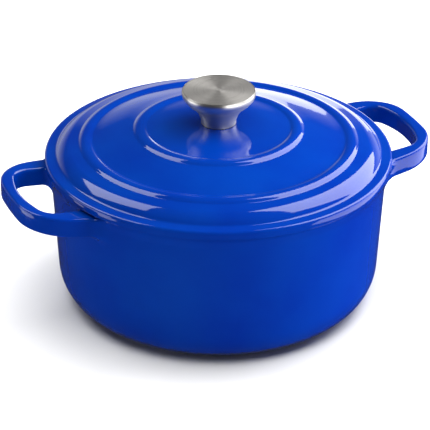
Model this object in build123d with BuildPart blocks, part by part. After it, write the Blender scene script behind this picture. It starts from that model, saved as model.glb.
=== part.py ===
"""Covered casserole dish: enamelled cast-iron pot and lid with a stainless-steel knob.

Millimetres, +Z up, X along the two loop handles, origin on the base plane below the
centre of the pot.
"""

import math
import os

from build123d import *

os.makedirs("parts", exist_ok=True)

# ------------------------------------------------------------------ driving dimensions

# pot body: the outside tapers towards the base and flares a little at the rim
POT_HEIGHT = 107.0
POT_RIM_R = 124.0
POT_NECK_R = 122.3
POT_NECK_Z = 97.0
POT_LOW_R = 118.2
POT_LOW_Z = 26.0
POT_BASE_FLAT_R = 94.0
POT_WALL = 4.0
POT_FLOOR = 5.0
POT_FLOOR_FLAT_R = 93.0
POT_RIM_ROUND = 1.2

# loop handles, cast in one piece with the pot: they rise a little towards their tips
HANDLE_TIP_X = 161.0
HANDLE_TOP_Z = 105.7
HANDLE_TOP_AT_X = 120.0
HANDLE_RISE = 5.7
HANDLE_DEPTH = 14.4
HANDLE_ROOT = (94.0, 54.0)
HANDLE_KNEE = (156.2, 45.3)
HANDLE_KNEE_ROUND = 35.0
OPENING_TIP_X = 152.0
OPENING_ROOT = (100.0, 34.6)
OPENING_KNEE = (144.6, 35.0)
OPENING_KNEE_ROUND = 13.3
HANDLE_TOP_ROUND = 2.6
HANDLE_INNER_ROUND = 3.4
HANDLE_LOW_ROUND = 1.8
HANDLE_ROOT_FILLET = 6.0

# lid casting: a low dome with two raised beads, a rounded shoulder and a flat flange
LID_R = 126.5
LID_FLANGE_TOP = 113.4
LID_EDGE_ROUND = 2.6
LID_EDGE_UNDER_ROUND = 1.0
LID_GROOVE = (120.0, 113.6)
LID_SHOULDER = (115.6, 115.8)
LID_SEAT_R = 14.0
LID_SEAT_Z = 135.5
BEAD_1_IN = (52.2, 132.2)
BEAD_1_TOP = (56.8, 133.0)
BEAD_1_OUT = (61.8, 131.2)
BEAD_2_IN = (91.8, 123.4)
BEAD_2_TOP = (96.2, 124.1)
BEAD_2_OUT = (101.2, 122.4)
BEAD_BLEND = 2.5
LID_SHOULDER_BLEND = 12.0
LID_GROOVE_BLEND = 5.0
LID_UNDER_SEAT_Z = 131.2
LID_UNDER_EDGE = (104.0, 116.4)
LOCATOR_R = 117.8
LOCATOR_W = 4.6
LOCATOR_DROP = 4.5
LOCATOR_ROUND = 1.5
LOCATOR_ROOT_ROUND = 5.0
LID_HOLE_R = 3.4

# knob: a spun shell with a turned cap and a threaded insert
KNOB_FOOT_R = 12.7
KNOB_RIM_R = 26.8
KNOB_RIM_Z = 159.0
KNOB_TOP_Z = 161.5
KNOB_SKIN = 1.2
KNOB_FLARE = [(14.2, 142.4), (17.9, 148.0), (24.2, 153.7)]
KNOB_RIM_SLOPE = (0.1, 1)
GASKET_T = 0.5
KNOB_SKIN_STATIONS = [0, 0.25, 0.5, 0.75, 1]
CAP_R = 26.0
CAP_T = 1.8
CAP_GAP = 0.15
CAP_LEDGE = 0.9
CAP_CHAMFER = 0.3
INSERT_R = 5.5
INSERT_HEX_R = 7.0
INSERT_SPIGOT = 2.0
INSERT_DEPTH = 16.0

# screw stack below the lid
SCREW_R = 3.0
SCREW_FIT = 0.05
SCREW_LENGTH = 17.0
SCREW_HEAD_R = 6.0
SCREW_HEAD_H = 3.7
SCREW_RECESS_W = 1.4
SCREW_RECESS_L = 6.4
SCREW_RECESS_D = 2.2
SCREW_RECESS_TAPER = 12
SCREW_HEAD_ROUND = 2.2
SCREW_POINT_CHAMFER = 0.7
WASHER_R = 8.0
WASHER_T = 1.2
LOCK_WASHER_R = 5.4
LOCK_WASHER_T = 1.5
LOCK_WASHER_GAP = 0.9
LOCK_WASHER_SLANT = 20
WASHER_CLEARANCE = 0.2
WASHER_CHAMFER = 0.3

LEVEL_OUT = (1, 0)
UPRIGHT = (0, 1)


def corners_at(section, places):
    """Return the section's vertices that lie at the given places."""
    found = []
    for place in places:
        found += section.vertices().sort_by_distance(Vector(*place))[:1]
    return found


# ------------------------------------------------------------------ pot

with BuildPart() as loop:
    # one loop handle, carried on inside the wall so that both ends of the bar fuse to it
    with BuildSketch(Plane.XY.offset(HANDLE_TOP_Z - 2 * HANDLE_DEPTH)) as loop_plan:
        with BuildLine():
            side = Line(HANDLE_ROOT, HANDLE_KNEE)
            far_side = mirror(side, about=Plane.XZ)
            ThreePointArc(side @ 1, (HANDLE_TIP_X, 0), far_side @ 1)
            Line(side @ 0, far_side @ 0)
        make_face()
        fillet(corners_at(loop_plan, [side @ 1, far_side @ 1]), HANDLE_KNEE_ROUND)
        with BuildLine():
            side = Line(OPENING_ROOT, OPENING_KNEE)
            far_side = mirror(side, about=Plane.XZ)
            ThreePointArc(side @ 1, (OPENING_TIP_X, 0), far_side @ 1)
            Line(side @ 0, far_side @ 0)
        make_face(mode=Mode.SUBTRACT)
        fillet(corners_at(loop_plan, [side @ 1, far_side @ 1]), OPENING_KNEE_ROUND)
    extrude(amount=3 * HANDLE_DEPTH)
    # the top and the underside slope up towards the tip
    slope = math.tan(math.radians(HANDLE_RISE))
    loop_top = Plane(origin=(HANDLE_TOP_AT_X, 0, HANDLE_TOP_Z), z_dir=(-slope, 0, 1))
    split(bisect_by=loop_top, keep=Keep.BOTTOM)
    split(bisect_by=loop_top.offset(-HANDLE_DEPTH), keep=Keep.TOP)
    # round every edge of the bar, most of all the inner one that the fingers meet
    top_face = loop.faces().filter_by(GeomType.PLANE).sort_by(Axis.Z)[-1]
    fillet(top_face.outer_wire().edges().sort_by(Axis.X)[1:], HANDLE_TOP_ROUND)
    top_face = loop.faces().filter_by(GeomType.PLANE).sort_by(Axis.Z)[-1]
    fillet(top_face.inner_wires()[0].edges().sort_by(Axis.X)[1:], HANDLE_INNER_ROUND)
    low_face = loop.faces().filter_by(GeomType.PLANE).sort_by(Axis.Z)[0]
    fillet(low_face.outer_wire().edges().sort_by(Axis.X)[1:], HANDLE_LOW_ROUND)
    low_face = loop.faces().filter_by(GeomType.PLANE).sort_by(Axis.Z)[0]
    fillet(low_face.inner_wires()[0].edges().sort_by(Axis.X)[1:], HANDLE_LOW_ROUND)

with BuildPart() as pot:
    with BuildSketch(Plane.XZ):
        with BuildLine():
            base = Line((0, 0), (POT_BASE_FLAT_R, 0))
            wall = Line((POT_LOW_R, POT_LOW_Z), (POT_NECK_R, POT_NECK_Z))
            Spline(base @ 1, wall @ 0, tangents=[LEVEL_OUT, wall % 0])
            rim_foot = (POT_RIM_R, POT_HEIGHT - POT_RIM_ROUND)
            flare = Spline(wall @ 1, rim_foot, tangents=[wall % 1, UPRIGHT])
            rim_top = (POT_RIM_R - POT_RIM_ROUND, POT_HEIGHT)
            TangentArc(flare @ 1, rim_top, tangent=UPRIGHT)
            Polyline(rim_top, (0, POT_HEIGHT), (0, 0))
        make_face()
    revolve(axis=Axis.Z)
    # both loops, with cast fillets where they leave the wall
    add(loop.part)
    fillet(pot.edges(Select.NEW), HANDLE_ROOT_FILLET)
    add(loop.part, rotation=(0, 0, 180))
    fillet(pot.edges(Select.NEW), HANDLE_ROOT_FILLET)
    # cooking space
    with BuildSketch(Plane.XZ):
        with BuildLine():
            floor = Line((0, POT_FLOOR), (POT_FLOOR_FLAT_R, POT_FLOOR))
            inner_low = (POT_LOW_R - POT_WALL, POT_LOW_Z)
            inner_wall = Line(inner_low, (POT_NECK_R - POT_WALL, POT_NECK_Z))
            Spline(floor @ 1, inner_wall @ 0, tangents=[LEVEL_OUT, inner_wall % 0])
            throat = (POT_RIM_R - POT_WALL, POT_HEIGHT - POT_RIM_ROUND)
            Spline(inner_wall @ 1, throat, tangents=[inner_wall % 1, UPRIGHT])
            mouth = (POT_RIM_R - POT_WALL + POT_RIM_ROUND, POT_HEIGHT)
            TangentArc(throat, mouth, tangent=UPRIGHT)
            Polyline(mouth, (0, POT_HEIGHT), (0, POT_FLOOR))
        make_face()
    revolve(axis=Axis.Z, mode=Mode.SUBTRACT)
pot.part.label = "pot"
export_step(pot.part, "parts/pot.step")


# ------------------------------------------------------------------ lid

with BuildPart() as lid:
    with BuildSketch(Plane.XZ) as lid_section:
        with BuildLine():
            seat = Line((0, LID_SEAT_Z), (LID_SEAT_R, LID_SEAT_Z))
            crown = TangentArc(seat @ 1, BEAD_1_IN, tangent=LEVEL_OUT)
            ThreePointArc(BEAD_1_IN, BEAD_1_TOP, BEAD_1_OUT)
            plateau = TangentArc(BEAD_1_OUT, BEAD_2_IN, tangent=crown % 1)
            ThreePointArc(BEAD_2_IN, BEAD_2_TOP, BEAD_2_OUT)
            TangentArc(BEAD_2_OUT, LID_SHOULDER, tangent=plateau % 1)
            Line(LID_SHOULDER, LID_GROOVE)
            Polyline(
                LID_GROOVE,
                (LID_R, LID_FLANGE_TOP),
                (LID_R, POT_HEIGHT),
                (LOCATOR_R, POT_HEIGHT),
                (LOCATOR_R, POT_HEIGHT - LOCATOR_DROP),
                (LOCATOR_R - LOCATOR_W, POT_HEIGHT - LOCATOR_DROP),
                (LOCATOR_R - LOCATOR_W, POT_HEIGHT + LOCATOR_DROP),
                LID_UNDER_EDGE,
            )
            under_seat = (LID_SEAT_R, LID_UNDER_SEAT_Z)
            TangentArc(under_seat, LID_UNDER_EDGE, tangent=LEVEL_OUT)
            Polyline(under_seat, (0, LID_UNDER_SEAT_Z), (0, LID_SEAT_Z))
        make_face()
        # casting radii: the beads run out softly, the rim and the locating ring are rounded
        bead_feet = corners_at(lid_section, [BEAD_1_IN, BEAD_1_OUT, BEAD_2_IN, BEAD_2_OUT])
        fillet(bead_feet, BEAD_BLEND)
        fillet(corners_at(lid_section, [LID_SHOULDER]), LID_SHOULDER_BLEND)
        fillet(corners_at(lid_section, [LID_GROOVE]), LID_GROOVE_BLEND)
        fillet(corners_at(lid_section, [(LID_R, LID_FLANGE_TOP)]), LID_EDGE_ROUND)
        fillet(corners_at(lid_section, [(LID_R, POT_HEIGHT)]), LID_EDGE_UNDER_ROUND)
        ring_foot = POT_HEIGHT - LOCATOR_DROP
        ring_corners = [(LOCATOR_R, ring_foot), (LOCATOR_R - LOCATOR_W, ring_foot)]
        fillet(corners_at(lid_section, ring_corners), LOCATOR_ROUND)
        ring_root = (LOCATOR_R - LOCATOR_W, POT_HEIGHT + LOCATOR_DROP)
        fillet(corners_at(lid_section, [ring_root]), LOCATOR_ROOT_ROUND)
    revolve(axis=Axis.Z)
    with Locations((0, 0, LID_SEAT_Z)):
        Hole(LID_HOLE_R, depth=LID_SEAT_Z - LID_UNDER_SEAT_Z)
lid.part.label = "lid"
export_step(lid.part, "parts/lid.step")


# ------------------------------------------------------------------ knob

foot_z = LID_SEAT_Z + GASKET_T

with BuildPart() as knob_gasket:
    with BuildSketch(Plane.XY.offset(LID_SEAT_Z)):
        Circle(KNOB_FOOT_R)
        Circle(INSERT_R, mode=Mode.SUBTRACT)
    extrude(amount=GASKET_T)
knob_gasket.part.label = "knob_gasket"
export_step(knob_gasket.part, "parts/knob_gasket.step")

with BuildPart() as knob_shell:
    # trumpet of sheet steel, thickened at the rim to seat the cap
    with BuildSketch(Plane.XZ):
        with BuildLine():
            trumpet = Spline(
                (KNOB_FOOT_R, foot_z),
                *KNOB_FLARE,
                (KNOB_RIM_R, KNOB_RIM_Z),
                tangents=[UPRIGHT, KNOB_RIM_SLOPE],
            )
            lip_top = (CAP_R + CAP_GAP, KNOB_TOP_Z)
            TangentArc(trumpet @ 1, lip_top, tangent=trumpet % 1)
            step_z = KNOB_TOP_Z - CAP_T
            skin = []
            for along in KNOB_SKIN_STATIONS:
                inward = (trumpet % along).rotate(Axis.Z, 90)
                skin.append((trumpet @ along) + inward * KNOB_SKIN)
            inside = Spline(*skin, tangents=[UPRIGHT, trumpet % 1])
            Polyline(
                lip_top,
                (CAP_R + CAP_GAP, step_z),
                (CAP_R - CAP_LEDGE, step_z),
                inside @ 1,
            )
            Line(inside @ 0, trumpet @ 0)
        make_face()
    revolve(axis=Axis.Z)
knob_shell.part.label = "knob_shell"
export_step(knob_shell.part, "parts/knob_shell.step")

with BuildPart() as knob_cap:
    with BuildSketch(Plane.XY.offset(KNOB_TOP_Z - CAP_T)):
        Circle(CAP_R)
    extrude(amount=CAP_T)
    chamfer(knob_cap.edges().group_by(Axis.Z)[-1], CAP_CHAMFER)
knob_cap.part.label = "knob_cap"
export_step(knob_cap.part, "parts/knob_cap.step")

with BuildPart() as knob_insert:
    # hexagonal boss under the cap, turned round where it passes the foot, tapped from below
    with BuildSketch(Plane.XY.offset(LID_SEAT_Z)):
        Circle(INSERT_R - SCREW_FIT)
    extrude(amount=GASKET_T + INSERT_SPIGOT)
    with BuildSketch(Plane.XY.offset(foot_z + INSERT_SPIGOT)):
        RegularPolygon(INSERT_HEX_R, side_count=6)
    extrude(amount=KNOB_TOP_Z - CAP_T - foot_z - INSERT_SPIGOT)
    with Locations(Plane.XY.offset(LID_SEAT_Z).rotated((180, 0, 0))):
        Hole(SCREW_R + SCREW_FIT, depth=INSERT_DEPTH)
knob_insert.part.label = "knob_insert"
export_step(knob_insert.part, "parts/knob_insert.step")


# ------------------------------------------------------------------ screw stack

flat_z = LID_UNDER_SEAT_Z - WASHER_T
spring_z = flat_z - LOCK_WASHER_T

with BuildPart() as screw_washer:
    with BuildSketch(Plane.XY.offset(flat_z)):
        Circle(WASHER_R)
        Circle(SCREW_R + WASHER_CLEARANCE, mode=Mode.SUBTRACT)
    extrude(amount=WASHER_T)
    chamfer(screw_washer.edges().group_by(Axis.Z)[0].sort_by(SortBy.LENGTH)[-1], WASHER_CHAMFER)
screw_washer.part.label = "screw_washer"
export_step(screw_washer.part, "parts/screw_washer.step")

with BuildPart() as lock_washer:
    with BuildSketch(Plane.XY.offset(spring_z)):
        Circle(LOCK_WASHER_R)
        Circle(SCREW_R + WASHER_CLEARANCE, mode=Mode.SUBTRACT)
        with Locations((LOCK_WASHER_R, 0)):
            Rectangle(
                2 * LOCK_WASHER_R,
                LOCK_WASHER_GAP,
                rotation=LOCK_WASHER_SLANT,
                mode=Mode.SUBTRACT,
            )
    extrude(amount=LOCK_WASHER_T)
lock_washer.part.label = "lock_washer"
export_step(lock_washer.part, "parts/lock_washer.step")

with BuildPart() as knob_screw:
    # pan head with a crossed recess
    with BuildSketch(Plane.XY.offset(spring_z - SCREW_HEAD_H)):
        Circle(SCREW_HEAD_R)
    extrude(amount=SCREW_HEAD_H)
    fillet(knob_screw.edges().group_by(Axis.Z)[0], SCREW_HEAD_ROUND)
    with BuildSketch(Plane.XY.offset(spring_z)):
        Circle(SCREW_R)
    extrude(amount=SCREW_LENGTH)
    chamfer(knob_screw.edges().group_by(Axis.Z)[-1], SCREW_POINT_CHAMFER)
    with BuildSketch(Plane.XY.offset(spring_z - SCREW_HEAD_H)):
        Rectangle(SCREW_RECESS_L, SCREW_RECESS_W)
        Rectangle(SCREW_RECESS_W, SCREW_RECESS_L)
    extrude(amount=SCREW_RECESS_D, taper=SCREW_RECESS_TAPER, mode=Mode.SUBTRACT)
knob_screw.part.label = "knob_screw"
export_step(knob_screw.part, "parts/knob_screw.step")
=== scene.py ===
"""Looks of a covered casserole dish: enamelled cast-iron pot and lid, stainless-steel knob."""

import math

import bpy
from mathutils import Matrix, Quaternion, Vector


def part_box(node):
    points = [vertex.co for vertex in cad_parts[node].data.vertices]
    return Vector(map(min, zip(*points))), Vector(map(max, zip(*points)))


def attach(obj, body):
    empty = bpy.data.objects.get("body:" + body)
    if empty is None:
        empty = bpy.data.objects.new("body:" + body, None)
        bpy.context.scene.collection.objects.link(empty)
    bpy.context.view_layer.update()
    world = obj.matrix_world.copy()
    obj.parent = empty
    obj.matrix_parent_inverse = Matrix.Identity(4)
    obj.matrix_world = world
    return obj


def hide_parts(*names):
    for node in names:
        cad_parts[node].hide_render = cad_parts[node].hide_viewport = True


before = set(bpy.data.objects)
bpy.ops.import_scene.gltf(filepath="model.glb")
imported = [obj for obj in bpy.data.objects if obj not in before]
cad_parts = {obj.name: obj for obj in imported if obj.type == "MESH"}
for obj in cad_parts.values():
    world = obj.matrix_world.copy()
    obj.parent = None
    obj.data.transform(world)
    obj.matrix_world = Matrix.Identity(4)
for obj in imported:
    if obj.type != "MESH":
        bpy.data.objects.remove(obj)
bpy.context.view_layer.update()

bl_info = {
    "name": "Covered casserole dish",
    "version": (1, 0, 0),
    "blender": (4, 5, 0),
    "location": "View3D > Sidebar > Casserole",
    "description": "Models the dish's visible pieces round its CAD frame and lights them",
    "category": "Object",
}

MM = 0.001
TURN = 2 * math.pi
FINE_STEP = 0.25 * MM
MERGE_DISTANCE = 0.005 * MM


# ------------------------------------------------------------------ sizes from the frame


def height_of(node):
    """Return the lowest and highest level of a CAD node."""
    low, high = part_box(node)
    return low.z, high.z


def radius_of(node):
    """Return the radius of a turned CAD node, half its width across Y."""
    low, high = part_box(node)
    return (high.y - low.y) / 2


LOCATOR_DROP = 4.5 * MM
POT_TOP = height_of("lid")[0] + LOCATOR_DROP
POT_RIM_R = radius_of("pot")
HANDLE_TIP_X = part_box("pot")[1].x
LID_SEAT_Z = height_of("lid")[1]
LID_R = radius_of("lid")
KNOB_FOOT_Z, KNOB_TOP_Z = height_of("knob_shell")
KNOB_RIM_R = radius_of("knob_shell")
CAP_R = radius_of("knob_cap")
CAP_FOOT_Z = height_of("knob_cap")[0]
GASKET_R = radius_of("knob_gasket")


def mm(*values):
    """Turn millimetres into metres."""
    return tuple(value * MM for value in values)


# ------------------------------------------------------------------ outlines


def straight(start, end):
    """Return close-set points along a straight stretch."""
    start, end = Vector(start), Vector(end)
    count = max(2, round((end - start).length / FINE_STEP))
    return [start.lerp(end, i / count) for i in range(count + 1)]


def arc_about(centre, start, end, clockwise):
    """Return close-set points of the arc from start to end about a centre."""
    spoke = start - centre
    turn = math.atan2(end.y - centre.y, end.x - centre.x) - math.atan2(spoke.y, spoke.x)
    turn %= TURN
    if clockwise:
        turn -= TURN
    count = max(4, round(abs(turn) * spoke.length / FINE_STEP))
    points = []
    for i in range(count + 1):
        angle = turn * i / count
        cos, sin = math.cos(angle), math.sin(angle)
        points.append(centre + Vector((spoke.x * cos - spoke.y * sin, spoke.x * sin + spoke.y * cos)))
    return points


def arc_from(start, heading, end):
    """Return the arc that leaves start along heading and ends at end."""
    start, end, heading = Vector(start), Vector(end), Vector(heading).normalized()
    chord = end - start
    side = Vector((-heading.y, heading.x))
    offset = chord.length_squared / (2 * chord.dot(side))
    return arc_about(start + side * offset, start, end, clockwise=offset < 0)


def arc_through(start, middle, end):
    """Return the arc through three points."""
    a, b, c = Vector(start), Vector(middle), Vector(end)
    twice_area = 2 * ((b.x - a.x) * (c.y - a.y) - (b.y - a.y) * (c.x - a.x))
    ab, ac = b - a, c - a
    centre = a + Vector((
        (ac.y * ab.length_squared - ab.y * ac.length_squared) / twice_area,
        (ab.x * ac.length_squared - ac.x * ab.length_squared) / twice_area,
    ))
    return arc_about(centre, a, c, clockwise=twice_area < 0)


def heading_at_end(stretch):
    """Return the direction in which a stretch arrives at its last point."""
    return (stretch[-1] - stretch[-2]).normalized()


def cut_back(stretch, length):
    """Drop the last part of a stretch, of the given length."""
    while len(stretch) > 2 and length > 0:
        length -= (stretch[-1] - stretch[-2]).length
        stretch = stretch[:-1]
    return stretch


SMOOTH_JOINT = 0.01


def joined(stretches, radii):
    """Join stretches end to end, rounding each joint to its radius (0 leaves it sharp)."""
    outline = stretches[0]
    for stretch, radius in zip(stretches[1:], radii):
        corner = stretch[0]
        arriving, leaving = heading_at_end(outline), (stretch[1] - stretch[0]).normalized()
        turn = arriving.angle(leaving, 0.0)
        if radius and turn > SMOOTH_JOINT:
            setback = radius * math.tan(turn / 2)
            outline = cut_back(outline, setback)
            stretch = cut_back(stretch[::-1], setback)[::-1]
            start, end = outline[-1], stretch[0]
            count = max(4, round((end - start).length / FINE_STEP))
            for i in range(1, count):
                t = i / count
                outline.append(start.lerp(corner, t).lerp(corner.lerp(end, t), t))
            outline += stretch
        else:
            outline = outline + stretch[1:]
    return outline


LEAST_TURN = math.radians(3.0)
LONGEST_STRIDE = 6.0 * MM
SECTION_STRIDE = 3.0 * MM


def thinned(outline, turn=LEAST_TURN, stride=LONGEST_STRIDE):
    """Keep only the points that the outline's bends and a longest stride need."""
    kept = [outline[0]]
    heading = (outline[1] - outline[0]).normalized()
    for before, point, after in zip(outline, outline[1:], outline[2:]):
        bend = heading.angle((after - point).normalized(), 0.0)
        if bend > turn or (point - kept[-1]).length > stride:
            kept.append(point)
            heading = (after - point).normalized()
    return kept + [outline[-1]]


# ------------------------------------------------------------------ modelling helpers


SHARP_EDGE = math.radians(40)
LATHE_STEPS = 192


def select_only(piece):
    """Deselect everything, then select one object and make it active."""
    bpy.ops.object.select_all(action="DESELECT")
    piece.select_set(True)
    bpy.context.view_layer.objects.active = piece


def lathe(name, outline, steps=LATHE_STEPS):
    """Draw an outline in the XZ plane by extruding a vertex, then spin it about Z."""
    bpy.ops.object.select_all(action="DESELECT")
    start = outline[0]
    bpy.ops.mesh.primitive_plane_add(size=MM, location=(start.x, 0, start.y))
    piece = bpy.context.active_object
    bpy.ops.object.transform_apply()
    bpy.ops.object.mode_set(mode="EDIT")
    bpy.ops.mesh.merge(type="CENTER")
    for here, there in zip(outline, outline[1:]):
        step = (there.x - here.x, 0, there.y - here.y)
        bpy.ops.mesh.extrude_region_move(TRANSFORM_OT_translate={"value": step})
    bpy.ops.mesh.select_all(action="SELECT")
    bpy.ops.mesh.spin(steps=steps, angle=TURN, center=(0, 0, 0), axis=(0, 0, 1))
    bpy.ops.mesh.select_all(action="SELECT")
    bpy.ops.mesh.remove_doubles(threshold=MERGE_DISTANCE)
    bpy.ops.mesh.normals_make_consistent(inside=False)
    bpy.ops.object.mode_set(mode="OBJECT")
    bpy.ops.object.shade_smooth_by_angle(angle=SHARP_EDGE)
    piece.name = piece.data.name = name
    return piece


# ------------------------------------------------------------------ outlines of the turned pieces

POT_RIM_ROUND = 1.2 * MM
POT_WALL = 4.0 * MM
POT_FLOOR = 5.0 * MM
POT_BASE = mm(94.0, 0.0)
POT_LOW = mm(118.2, 26.0)
POT_NECK = mm(122.3, 97.0)
POT_FLOOR_EDGE = mm(93.0, 5.0)

LID_FLANGE_TOP = 113.4 * MM
LID_EDGE_ROUND = 2.6 * MM
LID_EDGE_UNDER_ROUND = 1.0 * MM
LID_SHOULDER = mm(106.4, 121.4)
LID_SHOULDER_FOOT = mm(118.4, 114.0)
LID_SHOULDER_BLEND = 3.0 * MM
LID_SEAT_R = 14.0 * MM
LID_HOLE_R = 3.4 * MM
BEAD_BLEND = 2.5 * MM
BEAD_1 = (mm(52.2, 132.2), mm(56.9, 133.3), mm(62.0, 131.0))
BEAD_2 = (mm(91.8, 123.4), mm(96.4, 124.5), mm(101.6, 122.2))
LID_UNDER_SEAT_Z = 131.2 * MM
LID_UNDER_EDGE = mm(104.0, 116.4)
LOCATOR_R = 117.8 * MM
LOCATOR_W = 4.6 * MM
LOCATOR_ROUND = 1.5 * MM
LOCATOR_ROOT_ROUND = 5.0 * MM

LEVEL = (1, 0)
UPRIGHT = (0, 1)
BEND_REACH = 0.39


def bend(start, heading, end, arriving):
    """Return a smooth bend between two points with the given headings."""
    start, end = Vector(start), Vector(end)
    reach = (end - start).length * BEND_REACH
    first = start + Vector(heading).normalized() * reach
    last = end - Vector(arriving).normalized() * reach
    count = max(4, round((end - start).length / FINE_STEP))
    points = []
    for i in range(count + 1):
        t = i / count
        a, b, c = start.lerp(first, t), first.lerp(last, t), last.lerp(end, t)
        points.append(a.lerp(b, t).lerp(b.lerp(c, t), t))
    return points


def wall_stretches(floor_edge, low, neck, rim_foot):
    """Return the stretches of one side of the pot's wall, from its floor to below the rim."""
    wall = straight(low, neck)
    heel = bend(floor_edge, LEVEL, low, heading_at_end(wall))
    flare = bend(neck, heading_at_end(wall), rim_foot, UPRIGHT)
    return [heel, wall, flare]


def pot_outside():
    """Return the stretches of the pot's outer wall."""
    return wall_stretches(POT_BASE, POT_LOW, POT_NECK, (POT_RIM_R, POT_TOP - POT_RIM_ROUND))


def pot_outline():
    """Return the pot's section, from the base's middle over the rim to the floor's middle."""
    base = straight((0, 0), POT_BASE)
    outside = pot_outside()
    outer_edge = arc_from(outside[-1][-1], UPRIGHT, (POT_RIM_R - POT_RIM_ROUND, POT_TOP))
    inner_low = (POT_LOW[0] - POT_WALL, POT_LOW[1])
    inner_neck = (POT_NECK[0] - POT_WALL, POT_NECK[1])
    inner_r = POT_RIM_R - POT_WALL
    inside = wall_stretches(POT_FLOOR_EDGE, inner_low, inner_neck, (inner_r, POT_TOP - POT_RIM_ROUND))
    inside = [stretch[::-1] for stretch in reversed(inside)]
    inner_edge = arc_from(inside[0][0], UPRIGHT, (inner_r + POT_RIM_ROUND, POT_TOP))[::-1]
    rim = straight(outer_edge[-1], inner_edge[0])
    floor = straight(POT_FLOOR_EDGE, (0, POT_FLOOR))
    stretches = [base, *outside, outer_edge, rim, inner_edge, *inside, floor]
    return thinned(joined(stretches, [0] * len(stretches)))


def lid_outline():
    """Return the lid's closed section, from the screw hole over the top and back below."""
    seat = straight((LID_HOLE_R, LID_SEAT_Z), (LID_SEAT_R, LID_SEAT_Z))
    crown = arc_from(seat[-1], LEVEL, BEAD_1[0])
    bead_1 = arc_through(*BEAD_1)
    plateau = arc_from(BEAD_1[2], heading_at_end(crown), BEAD_2[0])
    bead_2 = arc_through(*BEAD_2)
    ledge = straight(BEAD_2[2], LID_SHOULDER)
    shoulder = arc_from(LID_SHOULDER, heading_at_end(ledge), LID_SHOULDER_FOOT)
    corners = [
        LID_SHOULDER_FOOT,
        (LID_R, LID_FLANGE_TOP),
        (LID_R, POT_TOP),
        (LOCATOR_R, POT_TOP),
        (LOCATOR_R, POT_TOP - LOCATOR_DROP),
        (LOCATOR_R - LOCATOR_W, POT_TOP - LOCATOR_DROP),
        (LOCATOR_R - LOCATOR_W, POT_TOP + LOCATOR_DROP),
        LID_UNDER_EDGE,
    ]
    runs = [straight(a, b) for a, b in zip(corners, corners[1:])]
    dome = arc_from((LID_SEAT_R, LID_UNDER_SEAT_Z), LEVEL, LID_UNDER_EDGE)[::-1]
    under_seat = straight(dome[-1], (LID_HOLE_R, LID_UNDER_SEAT_Z))
    hole = straight(under_seat[-1], seat[0])
    radii = [0, BEAD_BLEND, BEAD_BLEND, BEAD_BLEND, BEAD_BLEND, 0, LID_SHOULDER_BLEND]
    radii += [LID_EDGE_ROUND, LID_EDGE_UNDER_ROUND, 0, LOCATOR_ROUND, LOCATOR_ROUND]
    radii += [LOCATOR_ROOT_ROUND, 0, 0, 0]
    top = [seat, crown, bead_1, plateau, bead_2, ledge, shoulder]
    return thinned(joined([*top, *runs, dome, under_seat, hole], radii))


KNOB_FLARE = [mm(14.2, 142.4), mm(17.9, 148.0), mm(24.2, 153.7)]
KNOB_RIM_Z = 159.0 * MM
KNOB_RIM_SLOPE = (0.1, 1)
KNOB_SKIN = 1.2 * MM
CAP_GAP = 0.15 * MM
CAP_LEDGE = 0.9 * MM
CAP_CHAMFER = 0.3 * MM


def smooth_line(points, first_heading, last_heading):
    """Return a smooth line through points, made of one bend between each two."""
    places = [Vector(point) for point in points]
    headings = [Vector(first_heading)]
    for before, after in zip(places, places[2:]):
        headings.append(after - before)
    headings.append(Vector(last_heading))
    stretches = [
        bend(places[i], headings[i], places[i + 1], headings[i + 1]) for i in range(len(places) - 1)
    ]
    return joined(stretches, [0] * len(stretches))


def inner_skin(line, thickness):
    """Return the line moved inwards, to its left, by a skin's thickness."""
    moved = []
    for before, point, after in zip(line[:1] + line, line, line[1:] + line[-1:]):
        along = (after - before).normalized()
        moved.append(point + Vector((-along.y, along.x)) * thickness)
    return moved


def knob_outline():
    """Return the closed section of the knob's shell, from its foot over the lip and back inside."""
    rim = (KNOB_RIM_R, KNOB_RIM_Z)
    flare = smooth_line([(GASKET_R, KNOB_FOOT_Z), *KNOB_FLARE, rim], UPRIGHT, KNOB_RIM_SLOPE)
    lip = arc_from(flare[-1], heading_at_end(flare), (CAP_R + CAP_GAP, KNOB_TOP_Z))
    step = [lip[-1], (CAP_R + CAP_GAP, CAP_FOOT_Z), (CAP_R - CAP_LEDGE, CAP_FOOT_Z)]
    inside = inner_skin(flare, KNOB_SKIN)[::-1]
    step += [inside[0]]
    runs = [straight(a, b) for a, b in zip(step, step[1:])]
    foot = straight(inside[-1], flare[0])
    stretches = [flare, lip, *runs, inside, foot]
    return thinned(joined(stretches, [0] * len(stretches)))


def cap_outline():
    """Return the turned cap's section, from the middle of its underside to that of its top."""
    corners = [
        (0, CAP_FOOT_Z),
        (CAP_R, CAP_FOOT_Z),
        (CAP_R, KNOB_TOP_Z - CAP_CHAMFER),
        (CAP_R - CAP_CHAMFER, KNOB_TOP_Z),
        (0, KNOB_TOP_Z),
    ]
    runs = [straight(a, b) for a, b in zip(corners, corners[1:])]
    return thinned(joined(runs, [0] * len(runs)))


# ------------------------------------------------------------------ loop handles

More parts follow.
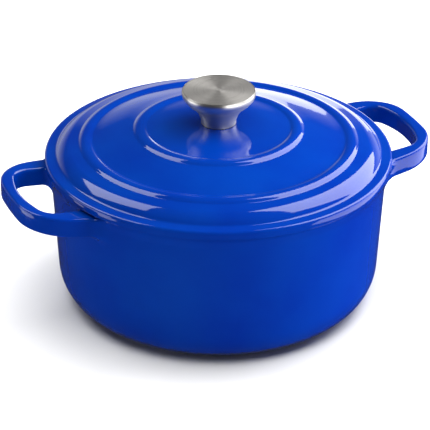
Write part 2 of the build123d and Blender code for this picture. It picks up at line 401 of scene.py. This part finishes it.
HANDLE_TOP = 105.7 * MM
HANDLE_TOP_AT_X = 120.0 * MM
HANDLE_SLOPE = math.tan(math.radians(5.7))
HANDLE_DEPTH = 14.4 * MM
HANDLE_BAR = 9.0 * MM
HANDLE_ROOT = mm(94.0, 54.0)
HANDLE_KNEE = mm(156.2, 45.3)
HANDLE_KNEE_ROUND = 35.0 * MM
OPENING_TIP_X = HANDLE_TIP_X - HANDLE_BAR
OPENING_ROOT = mm(100.0, 34.6)
OPENING_KNEE = mm(144.6, 35.0)
OPENING_KNEE_ROUND = 13.3 * MM
SECTION_ROUNDS = mm(2.6, 3.4, 1.8, 1.8)
TOP_CROWN = 0.4 * MM
ROOT_FILLETS = {"outer": 9.0 * MM, "inner": 6.0 * MM, "under": 8.0 * MM, "top": 0.8 * MM}
ROOT_STEPS = 12
SIDE_STEPS = 6
KNEE_STEPS = 14
TIP_STEPS = 8
EMBED = 0.02 * MM
INSIDE_WALL = 2.0 * MM
SETTLING_ROUNDS = 4


def loop_line(root, knee, knee_round, tip_x):
    """Return the side, the rounded knee and half the tip of one edge of the loop, seen from above."""
    sag = tip_x - knee[0]
    tip_r = (knee[1] ** 2 + sag ** 2) / (2 * sag)
    tip_centre = Vector((tip_x - tip_r, 0))
    along = (Vector(knee) - Vector(root)).normalized()
    across = Vector((-along.y, along.x))
    # the knee's centre lies one radius inside the side and inside the tip's arc
    base = Vector(knee) - across * knee_round - tip_centre
    half = base.dot(along)
    reach = math.sqrt(half ** 2 - base.length_squared + (tip_r - knee_round) ** 2)
    centre = tip_centre + base + along * (reach - half)
    side_end = centre + across * knee_round
    knee_end = centre + (centre - tip_centre).normalized() * knee_round
    side = straight(root, side_end)
    corner = arc_about(centre, side_end, knee_end, clockwise=True)
    tip = arc_about(tip_centre, knee_end, Vector((tip_x, 0)), clockwise=True)
    return side, corner, tip


def handle_section():
    """Return the bar's closed section at the tip, as (across from its outer side, level) points."""
    low, top = -HANDLE_DEPTH, 0.0
    outer = straight((0, low), (0, top - TOP_CROWN))
    crown = arc_through((0, top - TOP_CROWN), (HANDLE_BAR / 2, top), (HANDLE_BAR, top - TOP_CROWN))
    inner = straight((HANDLE_BAR, top - TOP_CROWN), (HANDLE_BAR, low))
    under_far = straight((HANDLE_BAR, low), (HANDLE_BAR / 2, low))
    under_near = straight((HANDLE_BAR / 2, low), (0, low))
    half_way = len(outer) // 2
    stretches = [outer[half_way:], crown, inner, under_far, under_near, outer[: half_way + 1]]
    outer_top, inner_top, inner_low, outer_low = SECTION_ROUNDS
    rounded = joined(stretches, [outer_top, inner_top, inner_low, 0, outer_low])
    return thinned(rounded, stride=SECTION_STRIDE)[:-1]


def at_fraction(stretch, fraction):
    """Return the point a fraction of the way along a stretch."""
    place = fraction * (len(stretch) - 1)
    index = min(int(place), len(stretch) - 2)
    return stretch[index].lerp(stretch[index + 1], place - index)


def radius_at(outline, level):
    """Return the outline's radius where it passes a level."""
    for low, high in zip(outline, outline[1:]):
        if low.y <= level <= high.y:
            return low.x + (high.x - low.x) * (level - low.y) / (high.y - low.y)
    return outline[-1].x


def side_y(side, x):
    """Return where a straight side passes an x."""
    start, end = side[0], side[-1]
    return start.y + (end.y - start.y) * (x - start.x) / (end.x - start.x)


def across_bar(outer, inner, reach):
    """Return the place a reach inwards from the bar's outer edge, its rounds kept at full size."""
    width = (inner - outer).length
    share = reach / width if reach < HANDLE_BAR / 2 else 1 - (HANDLE_BAR - reach) / width
    return outer.lerp(inner, share)


def raised(xy, level):
    """Return a point of the bar: its level counts from the top face, which slopes up to the tip."""
    return Vector((xy.x, xy.y, HANDLE_TOP + (xy.x - HANDLE_TOP_AT_X) * HANDLE_SLOPE + level))


def root_rows(section, outer_side, inner_side):
    """Return the rows that sweep the section out into the wall along its casting fillets."""
    wall = joined(pot_outside(), [0, 0])
    count = len(section)
    reaches, outward = [], []
    for i, point in enumerate(section):
        along = (section[(i + 1) % count] - section[i - 1]).normalized()
        across, up = -along.y, along.x
        outward.append((across, up))
        reach = ROOT_FILLETS["inner" if across > 0 else "outer"] * across ** 2
        reach += ROOT_FILLETS["top" if up > 0 else "under"] * up ** 2
        reaches.append(reach)
    rows = []
    for step in range(ROOT_STEPS + 1):
        angle = math.pi / 2 * (1 - step / ROOT_STEPS)
        row = []
        for point, reach, (across, up) in zip(section, reaches, outward):
            swell = reach * (1 - math.cos(angle))
            stand_off = reach * (1 - math.sin(angle)) - (EMBED if step == 0 else 0)
            highest = POT_TOP - POT_RIM_ROUND + stand_off * HANDLE_SLOPE
            x = POT_RIM_R
            for _ in range(SETTLING_ROUNDS):
                outer = Vector((x, side_y(outer_side, x)))
                inner = Vector((x, side_y(inner_side, x)))
                place = raised(across_bar(outer, inner, point.x), point.y)
                y = place.y - across * swell
                z = min(place.z + up * swell, highest)
                x = math.sqrt(radius_at(wall, z) ** 2 - y ** 2) + stand_off
            row.append(Vector((x, y, z)))
        rows.append(row)
    buried = [Vector((p.x - INSIDE_WALL, p.y, p.z)) for p in rows[0]]
    return [buried] + rows


def handle_rows():
    """Return rows of points round the bar, from inside the wall at +Y to the middle of the tip."""
    section = handle_section()
    outer = loop_line(HANDLE_ROOT, HANDLE_KNEE, HANDLE_KNEE_ROUND, HANDLE_TIP_X)
    inner = loop_line(OPENING_ROOT, OPENING_KNEE, OPENING_KNEE_ROUND, OPENING_TIP_X)
    rows = root_rows(section, outer[0], inner[0])
    clear = rows[-1]
    knee_row = [raised(across_bar(outer[1][0], inner[1][0], p.x), p.y) for p in section]
    for step in range(1, SIDE_STEPS + 1):
        share = step / SIDE_STEPS
        rows.append([start.lerp(end, share) for start, end in zip(clear, knee_row)])
    for outer_line, inner_line, steps in (
        (outer[1], inner[1], KNEE_STEPS),
        (outer[2], inner[2], TIP_STEPS),
    ):
        for step in range(1, steps + 1):
            outer_xy = at_fraction(outer_line, step / steps)
            inner_xy = at_fraction(inner_line, step / steps)
            rows.append([raised(across_bar(outer_xy, inner_xy, p.x), p.y) for p in section])
    return rows


def loop_handle(name):
    """Wrap a grid round the bar's rows to make the loop handle on the +X side."""
    rows = handle_rows()
    rows += [[Vector((p.x, -p.y, p.z)) for p in row] for row in rows[-2::-1]]
    around = len(rows[0])
    bpy.ops.object.select_all(action="DESELECT")
    bpy.ops.mesh.primitive_grid_add(x_subdivisions=around, y_subdivisions=len(rows) - 1)
    piece = bpy.context.active_object
    for index, vertex in enumerate(piece.data.vertices):
        row, place = divmod(index, around + 1)
        vertex.co = rows[row][place % around]
    bpy.ops.object.mode_set(mode="EDIT")
    bpy.ops.mesh.select_all(action="SELECT")
    bpy.ops.mesh.remove_doubles(threshold=MERGE_DISTANCE)
    bpy.ops.mesh.select_all(action="DESELECT")
    bpy.ops.mesh.select_non_manifold()
    bpy.ops.mesh.edge_face_add()
    bpy.ops.mesh.select_all(action="SELECT")
    bpy.ops.mesh.normals_make_consistent(inside=False)
    bpy.ops.object.mode_set(mode="OBJECT")
    bpy.ops.object.shade_smooth_by_angle(angle=SHARP_EDGE)
    piece.name = piece.data.name = name
    return piece


# ------------------------------------------------------------------ materials


def linear(colour):
    """Turn an sRGB hex colour, such as "#00277D", into linear red, green and blue."""
    channels = [int(colour[i : i + 2], 16) / 255 for i in (1, 3, 5)]
    return tuple(c / 12.92 if c <= 0.04045 else ((c + 0.055) / 1.055) ** 2.4 for c in channels)


def tint(colour):
    """Return a linear colour with full alpha, as shader sockets take it."""
    return (*colour, 1.0)


def add_node(tree, kind, settings=None, links=None):
    """Add a node; settings name its inputs or its properties, and links name its inputs."""
    node = tree.nodes.new(kind)
    for name, value in (settings or {}).items():
        if isinstance(name, int) or name in node.inputs:
            node.inputs[name].default_value = value
        else:
            setattr(node, name, value)
    for name, source in (links or {}).items():
        tree.links.new(source, node.inputs[name])
    return node


def new_material(name, shader):
    """Return a new material's node tree and its shader, whose sockets are set from the values."""
    material = bpy.data.materials.new(name)
    material.use_nodes = True
    tree = material.node_tree
    tree.nodes.clear()
    surface = add_node(tree, "ShaderNodeBsdfPrincipled", shader)
    add_node(tree, "ShaderNodeOutputMaterial", links={"Surface": surface.outputs["BSDF"]})
    return material, tree, surface


def mixed_tone(tree, surface, factor, dark, light):
    """Colour the surface between two tones by a pattern."""
    ramp = add_node(tree, "ShaderNodeValToRGB", links={"Fac": factor})
    ramp.color_ramp.elements[0].position = PATTERN_LOW
    ramp.color_ramp.elements[0].color = tint(dark)
    ramp.color_ramp.elements[1].position = PATTERN_HIGH
    ramp.color_ramp.elements[1].color = tint(light)
    tree.links.new(ramp.outputs["Color"], surface.inputs["Base Color"])


def varied_roughness(tree, surface, factor, low, high):
    """Let the roughness wander between two values with a pattern."""
    span = add_node(
        tree, "ShaderNodeMapRange",
        {"From Min": PATTERN_LOW, "From Max": PATTERN_HIGH, "To Min": low, "To Max": high},
        {"Value": factor},
    )
    tree.links.new(span.outputs["Result"], surface.inputs["Roughness"])


def clouding(tree, place, spacing, detail):
    """Return a noise pattern whose features are a spacing apart."""
    noise = add_node(
        tree, "ShaderNodeTexNoise", {"Scale": 1.0 / spacing, "Detail": detail}, {"Vector": place}
    )
    return noise.outputs["Fac"]


def object_place(tree):
    """Return the place on the object, in metres."""
    return add_node(tree, "ShaderNodeTexCoord").outputs["Object"]


def bumped(tree, height, strength, depth, below=None):
    """Return the surface's direction after a pattern raises it by a depth."""
    links = {"Height": height}
    if below:
        links["Normal"] = below
    bump = add_node(tree, "ShaderNodeBump", {"Strength": strength, "Distance": depth}, links)
    return bump.outputs["Normal"]


# noise values seldom leave this range, so ramps run across it
PATTERN_LOW = 0.3
PATTERN_HIGH = 0.7

ENAMEL_IOR = 1.52
FLOW_MARKS = 60.0 * MM
ORANGE_PEEL = 11.0 * MM
FINE_PEEL = 3.5 * MM
FINE_PEEL_SHARE = FINE_PEEL / ORANGE_PEEL * 0.5
GLOSS_SPREAD = (0.8, 1.3)
PINHOLES = 0.9 * MM
GRIT = 0.03 * MM


def vitreous_enamel(name, dark, light, roughness, peel_depth):
    """Glass fired onto cast iron: sprayed, so a deep gloss with a soft orange peel.

    Its reflections have crisp but slightly wavy edges, and its tone clouds a little where
    the coat is thicker.
    """
    material, tree, surface = new_material(
        name, {"IOR": ENAMEL_IOR, "Metallic": 0.0, "Specular IOR Level": 0.5}
    )
    place = object_place(tree)
    clouds = clouding(tree, place, FLOW_MARKS, 3.0)
    mixed_tone(tree, surface, clouds, dark, light)
    smoothest, roughest = GLOSS_SPREAD
    varied_roughness(tree, surface, clouds, roughness * smoothest, roughness * roughest)
    broad = bumped(tree, clouding(tree, place, ORANGE_PEEL, 1.0), 1.0, peel_depth)
    ripple = clouding(tree, place, FINE_PEEL, 1.0)
    fine = bumped(tree, ripple, 1.0, peel_depth * FINE_PEEL_SHARE, broad)
    tree.links.new(fine, surface.inputs["Normal"])
    return material


def ground_enamel():
    """Thin matt ground coat on the bare seating rims: dark, speckled and a little gritty."""
    material, tree, surface = new_material(
        "matt_ground_enamel", {"IOR": ENAMEL_IOR, "Metallic": 0.0}
    )
    specks = clouding(tree, object_place(tree), PINHOLES, 2.0)
    mixed_tone(tree, surface, specks, linear("#14151A"), linear("#2C2E36"))
    varied_roughness(tree, surface, specks, 0.4, 0.6)
    tree.links.new(bumped(tree, specks, 0.5, GRIT), surface.inputs["Normal"])
    return material


POLISH_LINES = 0.8 * MM
TURNING_MARKS = 0.4 * MM
GROOVE_DEPTH = 0.004 * MM
SMUDGES = 18.0 * MM


def circles_about_z(tree, spacing):
    """Return a pattern of fine circles about the knob's axis, a spacing apart.

    Real turning marks are about 0.1 mm apart; these are drawn coarser so that they show.
    """
    split = add_node(tree, "ShaderNodeSeparateXYZ", links={"Vector": object_place(tree)})
    flat = add_node(
        tree, "ShaderNodeCombineXYZ", links={"X": split.outputs["X"], "Y": split.outputs["Y"]}
    )
    radius = add_node(
        tree, "ShaderNodeVectorMath", {"operation": "LENGTH"}, {0: flat.outputs["Vector"]}
    )
    section = add_node(
        tree, "ShaderNodeCombineXYZ", links={"X": radius.outputs["Value"], "Y": split.outputs["Z"]}
    )
    marks = add_node(
        tree, "ShaderNodeTexNoise",
        {"Scale": 1.0 / spacing, "Detail": 3.0, "noise_dimensions": "2D"},
        {"Vector": section.outputs["Vector"]},
    )
    return marks.outputs["Fac"]


def lathe_grain(tree, surface, marks, strength):
    """Let the circles raise the surface a little and stretch its reflections across them."""
    tree.links.new(bumped(tree, marks, strength, GROOVE_DEPTH), surface.inputs["Normal"])
    around = add_node(tree, "ShaderNodeTangent", {"direction_type": "RADIAL", "axis": "Z"})
    tree.links.new(around.outputs["Tangent"], surface.inputs["Tangent"])


def polished_stainless():
    """Stainless sheet, spun and then polished on the lathe with a fine abrasive.

    Bright but satin: it shows soft bands of light instead of a picture, drawn out by
    hair-fine circles.
    """
    material, tree, surface = new_material(
        "polished_stainless",
        {
            "Metallic": 1.0,
            "Anisotropic": 0.5,
            "Anisotropic Rotation": 0.25,
            "Base Color": tint(linear("#D2CFCA")),
        },
    )
    marks = circles_about_z(tree, POLISH_LINES)
    varied_roughness(tree, surface, marks, 0.34, 0.44)
    lathe_grain(tree, surface, marks, 0.5)
    return material


def turned_stainless():
    """Stainless disc faced on a lathe and left as cut.

    The concentric grooves spread each light into a soft fan across the disc.
    """
    material, tree, surface = new_material(
        "turned_stainless", {"Metallic": 1.0, "Anisotropic": 0.85, "Anisotropic Rotation": 0.25}
    )
    marks = circles_about_z(tree, TURNING_MARKS)
    mixed_tone(tree, surface, marks, linear("#A5A29E"), linear("#B4B1AD"))
    varied_roughness(tree, surface, marks, 0.26, 0.4)
    lathe_grain(tree, surface, marks, 0.6)
    return material


def plain_stainless():
    """Machined stainless of the screw, washers and insert: satin, with faint handling smudges."""
    material, tree, surface = new_material("plain_stainless", {"Metallic": 1.0})
    smudges = clouding(tree, object_place(tree), SMUDGES, 5.0)
    mixed_tone(tree, surface, smudges, linear("#A3A19D"), linear("#BDBBB7"))
    varied_roughness(tree, surface, smudges, 0.28, 0.42)
    return material


def moulded_silicone():
    """Dark moulded silicone: soft, dull and slightly dusty."""
    material, tree, surface = new_material(
        "moulded_silicone", {"IOR": 1.41, "Metallic": 0.0, "Sheen Weight": 0.15}
    )
    dust = clouding(tree, object_place(tree), PINHOLES, 3.0)
    mixed_tone(tree, surface, dust, linear("#17181A"), linear("#26272A"))
    varied_roughness(tree, surface, dust, 0.5, 0.65)
    return material


BOARD_CLOUDS = 0.667
BOARD_DIP = 0.97


def studio_floor(colour):
    """Matt coated board: pale, even, with barely visible clouding."""
    board = {"IOR": 1.45, "Metallic": 0.0, "Roughness": 0.9}
    material, tree, surface = new_material("matt_board", board)
    clouds = clouding(tree, object_place(tree), BOARD_CLOUDS, 2.0)
    mixed_tone(tree, surface, clouds, [c * BOARD_DIP for c in colour], colour)
    return material


def paint(piece, materials, choose=None):
    """Give a piece its materials; choose returns the index of a face's material."""
    piece.data.materials.clear()
    for material in materials:
        piece.data.materials.append(material)
    if choose:
        for face in piece.data.polygons:
            face.material_index = choose(face)


# ------------------------------------------------------------------ settings

SIZE = {"subtype": "DISTANCE", "unit": "LENGTH", "precision": 5}
COLOUR = {"subtype": "COLOR", "size": 3, "min": 0.0, "max": 1.0}


class CasseroleEnamelSettings(bpy.types.PropertyGroup):
    """Colours and gloss of the fired enamel."""

    dark: bpy.props.FloatVectorProperty(
        name="Deep tone", description="Enamel where the coat is thick", default=linear("#00298A"), **COLOUR
    )
    light: bpy.props.FloatVectorProperty(
        name="Light tone", description="Enamel where the coat is thin", default=linear("#003494"), **COLOUR
    )
    lining: bpy.props.FloatVectorProperty(
        name="Lining", description="Enamel inside the pot and lid", default=linear("#E6DCC4"), **COLOUR
    )
    roughness: bpy.props.FloatProperty(
        name="Roughness", description="Roughness of the fired gloss", default=0.05, min=0.0, max=1.0
    )
    peel_depth: bpy.props.FloatProperty(
        name="Orange peel", description="Depth of the waves in the gloss", default=0.05 * MM, **SIZE
    )


class CasserolePotSettings(bpy.types.PropertyGroup):
    """Fineness of the pot's turned body."""

    segments: bpy.props.IntProperty(
        name="Segments", description="Faces round the body", default=256, min=24, max=512
    )


class CasseroleKnobSettings(bpy.types.PropertyGroup):
    """Fineness of the knob's turned pieces."""

    segments: bpy.props.IntProperty(
        name="Segments", description="Faces round the knob", default=LATHE_STEPS, min=24, max=512
    )


class CasseroleStageSettings(bpy.types.PropertyGroup):
    """Light and floor round the dish."""

    strength: bpy.props.FloatProperty(
        name="Softbox strength", description="Multiplies every light's brightness", default=1.0, min=0.0
    )
    floor: bpy.props.FloatVectorProperty(
        name="Floor", description="Colour of the floor", default=linear("#DCDCDC"), **COLOUR
    )
    distance: bpy.props.FloatProperty(
        name="Camera distance", description="From the middle of the dish", default=1.713, **SIZE
    )


# ------------------------------------------------------------------ operators

OUTSIDE, LINING, GROUND = range(3)
HAIR = 0.05 * MM
LID_RING_ROOM = 5.5 * MM
LINING_DIP = 0.93
LINING_ROUGHER = 1.5


def enamel_set():
    """Return the enamels of one casting: outside, lining and ground coat."""
    settings = bpy.context.scene.casserole_enamel
    names = ("cobalt_enamel", "cream_enamel", "matt_ground_enamel")
    found = [bpy.data.materials.get(name) for name in names]
    if all(found):
        return found
    gloss, peel = settings.roughness, settings.peel_depth
    cream = tuple(settings.lining)
    return [
        vitreous_enamel("cobalt_enamel", tuple(settings.dark), tuple(settings.light), gloss, peel),
        vitreous_enamel(
            "cream_enamel", tuple(c * LINING_DIP for c in cream), cream, gloss * LINING_ROUGHER, peel
        ),
        ground_enamel(),
    ]


def pot_finish(face):
    """Return the finish of a face of the pot: lined inside, ground coat on the rim's flat top."""
    centre = face.center
    radius = math.hypot(centre.x, centre.y)
    if centre.z > POT_TOP - HAIR:
        return GROUND
    inwards = centre.x * face.normal.x + centre.y * face.normal.y < 0
    mouth = POT_RIM_R - POT_WALL + POT_RIM_ROUND
    above_floor = centre.z > POT_FLOOR - HAIR
    lined = inwards or radius < POT_FLOOR_EDGE[0]
    return LINING if lined and radius < mouth and above_floor else OUTSIDE


def lid_finish(face):
    """Return the finish of a face of the lid: lined below, ground coat where it seats."""
    centre = face.center
    radius = math.hypot(centre.x, centre.y)
    if centre.z < POT_TOP + HAIR and radius > LOCATOR_R:
        return GROUND
    below = face.normal.z < 0 or centre.z < POT_TOP + LID_RING_ROOM
    return LINING if below and radius < LOCATOR_R + HAIR else OUTSIDE


class CASSEROLE_OT_lid(bpy.types.Operator):
    """Turn the domed lid with its two raised rings"""

    bl_idname = "casserole.lid"
    bl_label = "Enamelled lid"

    def execute(self, context):
        lid = lathe("enamelled_lid", lid_outline())
        paint(lid, enamel_set(), lid_finish)
        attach(lid, "lid")
        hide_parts("lid")
        return {"FINISHED"}


class CASSEROLE_OT_pot(bpy.types.Operator):
    """Turn the pot and cast its two loop handles on"""

    bl_idname = "casserole.pot"
    bl_label = "Enamelled pot"

    def execute(self, context):
        pot = lathe("enamelled_pot", pot_outline(), steps=context.scene.casserole_pot.segments)
        materials = enamel_set()
        paint(pot, materials, pot_finish)
        near = loop_handle("loop_handle")
        paint(near, materials)
        select_only(near)
        bpy.ops.object.duplicate()
        far = bpy.context.active_object
        bpy.ops.transform.rotate(value=math.pi, orient_axis="Z", center_override=(0, 0, 0))
        bpy.ops.object.transform_apply()
        select_only(pot)
        near.select_set(True)
        far.select_set(True)
        bpy.ops.object.join()
        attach(pot, "pot")
        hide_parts("pot")
        return {"FINISHED"}


class CASSEROLE_OT_knob(bpy.types.Operator):
    """Spin the knob's trumpet and face its cap"""

    bl_idname = "casserole.knob"
    bl_label = "Stainless knob"

    def execute(self, context):
        segments = context.scene.casserole_knob.segments
        trumpet = lathe("knob_trumpet", knob_outline(), segments)
        paint(trumpet, [polished_stainless()])
        cap = lathe("turned_cap", cap_outline(), segments)
        paint(cap, [turned_stainless()])
        for piece, node, slot in (
            (trumpet, "knob_shell", "polished_stainless"),
            (cap, "knob_cap", "turned_stainless"),
        ):
            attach(piece, "lid")
            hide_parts(node)
        return {"FINISHED"}


class CASSEROLE_OT_fastening(bpy.types.Operator):
    """Give the knob's insert, gasket, screw and washers their finishes"""

    bl_idname = "casserole.fastening"
    bl_label = "Knob fastening"

    def execute(self, context):
        steel = plain_stainless()
        for node in ("knob_insert", "knob_screw", "screw_washer", "lock_washer"):
            paint(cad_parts[node], [steel])
        paint(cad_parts["knob_gasket"], [moulded_silicone()])
        return {"FINISHED"}


# lights round the dish: (name, azimuth, elevation, lean, distance, width, height, radiance,
# colour, mirrored), with angles in degrees and lengths in metres
# a light that isn't mirrored only fills the shadows and leaves no shape in the gloss
WHITE = (1.0, 1.0, 1.0)
GREENISH = (0.7, 1.0, 0.7)
BLUISH = (0.7, 0.68, 1.0)
SOFTBOXES = (
    ("right_softbox", 98.0, 42.0, 17.0, 1.5, 1.1, 1.75, 5.4, WHITE, True),
    ("left_softbox", -136.0, 52.0, -12.0, 1.5, 0.75, 0.85, 4.2, WHITE, True),
    ("back_panel", 146.0, -5.0, 0.0, 1.6, 0.66, 0.84, 2.2, WHITE, True),
    ("right_panel", 72.0, -8.0, 0.0, 1.4, 1.8, 1.0, 2.4, WHITE, True),
    ("left_panel", -108.0, -5.0, 0.0, 1.4, 0.9, 1.0, 2.2, WHITE, True),
    ("overhead_fill", 20.0, 80.0, 0.0, 1.6, 1.8, 1.8, 2.7, GREENISH, False),
    ("front_fill", 60.0, 22.0, 0.0, 1.8, 1.8, 1.6, 5.6, BLUISH, False),
    ("left_fill", -70.0, 22.0, 0.0, 1.8, 1.6, 1.4, 0.8, BLUISH, False),
)
# the fills are tinted, so the floor has a white light of its own
FLOOR_LIGHT = ("floor_light", 0.0, 88.0, 0.0, 1.6, 1.8, 1.8, 6.0, WHITE, False)
# soft panels that only the knob's steel mirrors
KNOB_PANELS = (
    ("knob_panel_front", 20.0, 5.0, 0.0, 1.5, 1.2, 1.6, 3.2, WHITE, True),
    ("knob_panel_back", 150.0, 34.0, 0.0, 1.5, 0.9, 0.7, 0.75, WHITE, True),
)
AIM = Vector((0, 0, 80.0 * MM))
VIEW_AZIMUTH = math.radians(-23.3)
VIEW_ELEVATION = math.radians(27.69)
VIEW_ROLL = math.radians(0.34)
VIEW_SHIFT = (-0.00753, -0.05784)
LENS = 195.0
FLOOR_SIZE = 14.0
STUDIO_DARK = 0.04
BACKDROP = 0.9
BACKDROP_HEIGHT = (0.02, 0.3)
BACKDROP_WIDTH = (0.3, 0.7)


def direction(azimuth, elevation):
    """Return the direction of a place round the dish; azimuth 0 is -Y and grows towards +X."""
    level = math.cos(elevation)
    return Vector((math.sin(azimuth) * level, -math.cos(azimuth) * level, math.sin(elevation)))


def softbox(
    name, azimuth, elevation, lean, distance, width, height, radiance, colour, mirrored, strength
):
    """Hang a softbox that faces the dish, its top leaning sideways by the given angle."""
    data = bpy.data.lights.new(name, "AREA")
    data.shape = "RECTANGLE"
    data.size = width
    data.size_y = height
    data.energy = strength * radiance * math.pi * width * height
    light = bpy.data.objects.new(name, data)
    bpy.context.scene.collection.objects.link(light)
    towards = direction(math.radians(azimuth), math.radians(elevation))
    light.location = AIM + towards * distance
    facing = towards.to_track_quat("Z", "Y")
    light.rotation_euler = (Quaternion(towards, math.radians(lean)) @ facing).to_euler()
    data.color = colour
    light.visible_camera = False
    light.visible_glossy = mirrored
    return light


def light_only(light, pieces):
    """Let a light fall on the given pieces alone."""
    lit = bpy.data.collections.new("lit_by_" + light.name)
    for piece in pieces:
        lit.objects.link(piece)
    light.light_linking.receiver_collection = lit


def studio_walls():
    """Make a dim studio with a bright backdrop behind the dish; the camera sees plain white."""
    world = bpy.data.worlds.new("studio")
    bpy.context.scene.world = world
    world.use_nodes = True
    tree = world.node_tree
    tree.nodes.clear()
    place = add_node(tree, "ShaderNodeTexCoord").outputs["Generated"]
    behind = -direction(VIEW_AZIMUTH, 0.0)
    facing = add_node(
        tree, "ShaderNodeVectorMath", {"operation": "DOT_PRODUCT", 1: behind}, {0: place}
    )
    height = add_node(tree, "ShaderNodeSeparateXYZ", links={"Vector": place}).outputs["Z"]
    level = add_node(tree, "ShaderNodeMath", {"operation": "ABSOLUTE"}, {0: height})
    off_level = level.outputs["Value"]
    full, gone = BACKDROP_HEIGHT
    low = add_node(
        tree, "ShaderNodeMapRange",
        {"From Min": full, "From Max": gone, "To Min": 1.0, "To Max": 0.0}, {"Value": off_level},
    )
    edge, centre = BACKDROP_WIDTH
    rear = add_node(
        tree, "ShaderNodeMapRange", {"From Min": edge, "From Max": centre},
        {"Value": facing.outputs["Value"]},
    )
    both = add_node(
        tree, "ShaderNodeMath", {"operation": "MULTIPLY"},
        {0: low.outputs["Result"], 1: rear.outputs["Result"]},
    )
    backdrop = add_node(
        tree, "ShaderNodeMapRange", {"To Min": STUDIO_DARK, "To Max": BACKDROP},
        {"Value": both.outputs["Value"]},
    )
    walls = add_node(tree, "ShaderNodeBackground", links={"Strength": backdrop.outputs["Result"]})
    paper = add_node(tree, "ShaderNodeBackground", {"Strength": 1.0})
    seen = add_node(tree, "ShaderNodeLightPath").outputs["Is Camera Ray"]
    either = add_node(tree, "ShaderNodeMixShader", links={
        0: seen, 1: walls.outputs["Background"], 2: paper.outputs["Background"],
    })
    for background in (walls, paper):
        background.inputs["Color"].default_value = tint(WHITE)
    add_node(tree, "ShaderNodeOutputWorld", links={"Surface": either.outputs["Shader"]})


class CASSEROLE_OT_stage(bpy.types.Operator):
    """Lay the floor, hang the softboxes and set up the camera"""

    bl_idname = "casserole.stage"
    bl_label = "Stage"

    def execute(self, context):
        settings = context.scene.casserole_stage
        bpy.ops.object.select_all(action="DESELECT")
        bpy.ops.mesh.primitive_plane_add(size=FLOOR_SIZE)
        floor = context.active_object
        floor.name = "floor"
        paint(floor, [studio_floor(tuple(settings.floor))])
        floor.visible_glossy = False
        dish = [thing for thing in context.scene.objects if thing.type == "MESH" and thing != floor]
        for light in SOFTBOXES:
            lamp = softbox(*light, settings.strength)
            if lamp.name.endswith("_fill"):
                light_only(lamp, dish)
        light_only(softbox(*FLOOR_LIGHT, settings.strength), [floor])
        knob = [bpy.data.objects["knob_trumpet"], bpy.data.objects["turned_cap"]]
        for light in KNOB_PANELS:
            light_only(softbox(*light, settings.strength), knob)
        studio_walls()

        data = bpy.data.cameras.new("camera")
        data.lens = LENS
        data.shift_x, data.shift_y = VIEW_SHIFT
        camera = bpy.data.objects.new("camera", data)
        context.scene.collection.objects.link(camera)
        back = direction(VIEW_AZIMUTH, VIEW_ELEVATION)
        camera.location = AIM + back * settings.distance
        turn = back.to_track_quat("Z", "Y") @ Quaternion((0, 0, 1), VIEW_ROLL)
        camera.rotation_euler = turn.to_euler()
        context.scene.camera = camera
        context.scene.view_settings.view_transform = "Standard"
        return {"FINISHED"}


class CASSEROLE_PT_sidebar(bpy.types.Panel):
    """Lists the dish's pieces and its stage"""

    bl_idname = "CASSEROLE_PT_sidebar"
    bl_label = "Covered casserole dish"
    bl_space_type = "VIEW_3D"
    bl_region_type = "UI"
    bl_category = "Casserole"

    def draw(self, context):
        scene = context.scene
        for owner, operator in PANEL_ROWS:
            box = self.layout.box()
            if owner:
                settings = getattr(scene, owner)
                for name in settings.bl_rna.properties.keys():
                    if name not in ("rna_type", "name"):
                        box.prop(settings, name)
            if operator:
                box.operator(operator)


PANEL_ROWS = (
    ("casserole_enamel", "casserole.lid"),
    ("casserole_pot", "casserole.pot"),
    ("casserole_knob", "casserole.knob"),
    (None, "casserole.fastening"),
    ("casserole_stage", "casserole.stage"),
)
SETTINGS = {
    "casserole_enamel": CasseroleEnamelSettings,
    "casserole_pot": CasserolePotSettings,
    "casserole_knob": CasseroleKnobSettings,
    "casserole_stage": CasseroleStageSettings,
}
CLASSES = (
    *SETTINGS.values(),
    CASSEROLE_OT_lid,
    CASSEROLE_OT_pot,
    CASSEROLE_OT_knob,
    CASSEROLE_OT_fastening,
    CASSEROLE_OT_stage,
    CASSEROLE_PT_sidebar,
)


def register():
    """Register the settings, the operators and the panel."""
    for cls in CLASSES:
        bpy.utils.register_class(cls)
    for name, group in SETTINGS.items():
        setattr(bpy.types.Scene, name, bpy.props.PointerProperty(type=group))


def unregister():
    """Undo register."""
    for name in SETTINGS:
        delattr(bpy.types.Scene, name)
    for cls in reversed(CLASSES):
        bpy.utils.unregister_class(cls)


def main():
    """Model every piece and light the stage."""
    register()
    bpy.ops.casserole.lid()
    bpy.ops.casserole.pot()
    bpy.ops.casserole.knob()
    bpy.ops.casserole.fastening()
    bpy.ops.casserole.stage()


if __name__ == "__main__":
    main()
